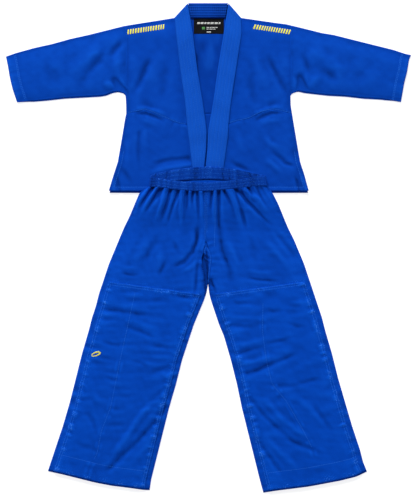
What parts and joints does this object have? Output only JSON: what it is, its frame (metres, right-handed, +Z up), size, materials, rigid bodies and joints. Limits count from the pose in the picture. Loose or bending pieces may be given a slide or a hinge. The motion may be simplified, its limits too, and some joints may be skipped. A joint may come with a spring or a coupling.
{
  "type": "martial arts uniform",
  "caption": "Wrap-front jacket with ribbed lapels and short skirt, laid flat above elastic-waist trousers with knee patches; sleeves and legs fold.",
  "frame": {"origin": "on the surface the set lies on, under the middle of the laid-out set", "axes": "+Y from the leg hems towards the collar, +Z up out of the cloth, the wearer's right side at -X (the garment lies on its back)"},
  "size_m": [1.1178, 1.3469, 0.0266],
  "materials": {
    "jacket_cloth": "matte pearl-weave cotton",
    "lapel_cloth": "matte ribbed cotton twill, quilted in rows",
    "trouser_cloth": "matte cotton twill",
    "patch_cloth": "matte cotton twill, second ply",
    "foam_core": "soft EVA foam",
    "elastic": "knitted elastic tape",
    "label": "satin woven label",
    "embroidery": "satin-stitch rayon thread"
  },
  "bodies": {
    "jacket": {"jacket_back_panel": "jacket_cloth", "jacket_back_skirt": "jacket_cloth", "right_front_panel": "jacket_cloth", "left_front_panel": "jacket_cloth", "right_front_skirt": "jacket_cloth", "left_front_skirt": "jacket_cloth", "right_lapel": "lapel_cloth", "left_lapel": "lapel_cloth", "right_lapel_core": "foam_core", "left_lapel_core": "foam_core", "back_collar": "lapel_cloth", "back_collar_core": "foam_core", "neck_label": "label", "right_shoulder_embroidery": "embroidery", "left_shoulder_embroidery": "embroidery"},
    "right_sleeve": {"right_sleeve_front": "jacket_cloth", "right_sleeve_back": "jacket_cloth"},
    "left_sleeve": {"left_sleeve_front": "jacket_cloth", "left_sleeve_back": "jacket_cloth"},
    "trousers": {"right_seat_panel": "trouser_cloth", "left_seat_panel": "trouser_cloth", "right_thigh_panel": "trouser_cloth", "left_thigh_panel": "trouser_cloth", "crotch_gusset": "trouser_cloth", "waistband_back": "trouser_cloth", "waistband_front": "trouser_cloth", "waist_elastic_back": "elastic", "waist_elastic_front": "elastic"},
    "right_leg": {"right_leg_front": "trouser_cloth", "right_leg_back": "trouser_cloth", "right_knee_patch": "patch_cloth", "leg_embroidery": "embroidery"},
    "left_leg": {"left_leg_front": "trouser_cloth", "left_leg_back": "trouser_cloth", "left_knee_patch": "patch_cloth"}
  },
  "joints": [
    {"name": "right_sleeve_fold", "type": "hinge", "parent": "jacket", "child": "right_sleeve", "pos_m": [-0.2498, 0.519, 0.009], "axis": [0, 1, 0], "range_deg": [0, 165]},
    {"name": "left_sleeve_fold", "type": "hinge", "parent": "jacket", "child": "left_sleeve", "pos_m": [0.247, 0.52, 0.009], "axis": [0, -1, 0], "range_deg": [0, 148]},
    {"name": "trousers_lift", "type": "slide", "parent": "jacket", "child": "trousers", "axis": [0, 0, 1], "range_m": [0, 0.25]},
    {"name": "right_leg_fold", "type": "hinge", "parent": "trousers", "child": "right_leg", "pos_m": [-0.1474, -0.1086, 0.0115], "axis": [-0.9911, 0.1333, 0], "range_deg": [0, 165]},
    {"name": "left_leg_fold", "type": "hinge", "parent": "trousers", "child": "left_leg", "pos_m": [0.14005, -0.1086, 0.0115], "axis": [-0.9906, -0.1365, 0], "range_deg": [0, 165]}
  ]
}
